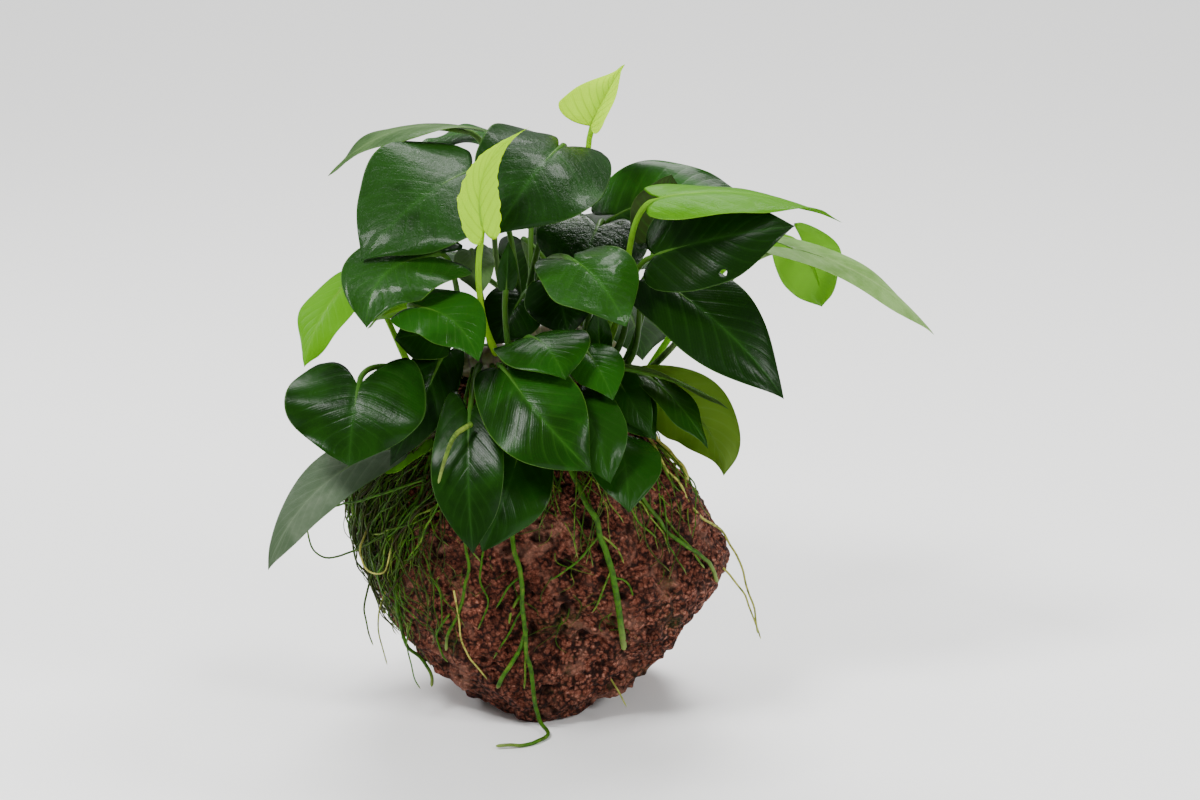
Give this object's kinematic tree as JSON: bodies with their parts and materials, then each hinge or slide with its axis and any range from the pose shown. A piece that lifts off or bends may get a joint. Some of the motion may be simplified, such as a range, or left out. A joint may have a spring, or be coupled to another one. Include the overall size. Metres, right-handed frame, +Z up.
{
  "type": "anubias on stone",
  "caption": "Broad-leaved aquarium plant with a creeping rhizome and green roots, growing over a rounded porous lava stone with a flat underside.",
  "frame": {"origin": "middle of the stone, on the plane of its flat underside", "axes": "+Z up; the plant faces -Y, and +X is to the right as seen from the front"},
  "size_m": [0.262, 0.1762, 0.254],
  "materials": {
    "stone": "rough porous lava rock, red-brown",
    "rhizome": "satin green-tan stem with ring scars",
    "root_green": "satin green root",
    "root_pale": "satin cream-yellow root",
    "leaf_old": "glossy dark green leaf, wet",
    "leaf_mature": "glossy green leaf",
    "leaf_fresh": "satin bright green leaf",
    "leaf_young": "satin yellow-green new leaf"
  },
  "bodies": {
    "root": {"stone": "stone", "rhizome_main": "rhizome", "rhizome_back": "rhizome", "leaf_back_left_arching": "leaf_mature", "leaf_back_left_upper": "leaf_mature", "leaf_left_round": "leaf_old", "leaf_top_wet": "leaf_old", "leaf_young_front": "leaf_young", "leaf_young_back": "leaf_young", "leaf_left_upper_wet": "leaf_mature", "leaf_left_bright": "leaf_fresh", "leaf_left_small": "leaf_mature", "leaf_left_big": "leaf_old", "leaf_left_inner": "leaf_old", "leaf_left_low": "leaf_old", "leaf_left_tuck": "leaf_fresh", "leaf_front_main": "leaf_mature", "leaf_front_low": "leaf_old", "leaf_front_low_right": "leaf_old", "leaf_front_right": "leaf_old", "leaf_right_low": "leaf_old", "leaf_right_mid": "leaf_mature", "leaf_right_dark_small": "leaf_old", "leaf_right_tuck": "leaf_mature", "leaf_right_see_through": "leaf_fresh", "leaf_right_edge": "leaf_mature", "leaf_right_dark": "leaf_old", "leaf_right_upper": "leaf_old", "leaf_back_right": "leaf_mature", "leaf_back_right_inner": "leaf_old", "leaf_right_top_fresh": "leaf_fresh", "leaf_right_light": "leaf_fresh", "leaf_far_right": "leaf_mature", "leaf_centre_wet": "leaf_old", "leaf_centre_front": "leaf_mature", "leaf_centre_under": "leaf_old", "leaf_rolled_bud": "leaf_mature", "leaf_centre_left_grey": "leaf_old", "leaf_centre_left_dark": "leaf_old", "leaf_front_upper": "leaf_mature", "leaf_left_mid_green": "leaf_mature", "leaf_left_underside": "leaf_fresh", "leaf_right_sprout": "leaf_mature", "leaf_right_narrow": "leaf_mature", "leaf_rear_left": "leaf_old", "leaf_rear_middle": "leaf_old", "leaf_rear_right": "leaf_old", "leaf_rear_low_left": "leaf_mature", "leaf_rear_low_right": "leaf_mature", "root_front_centre": "root_green", "root_front_main": "root_green", "root_front_right": "root_green", "root_pale_right": "root_pale", "root_left_front": "root_green", "root_left_outer": "root_green", "root_left_hanging": "root_green", "root_trailing": "root_pale", "root_back_left": "root_green", "root_back_right": "root_green", "shoot_front": "leaf_fresh"}
  },
  "joints": []
}
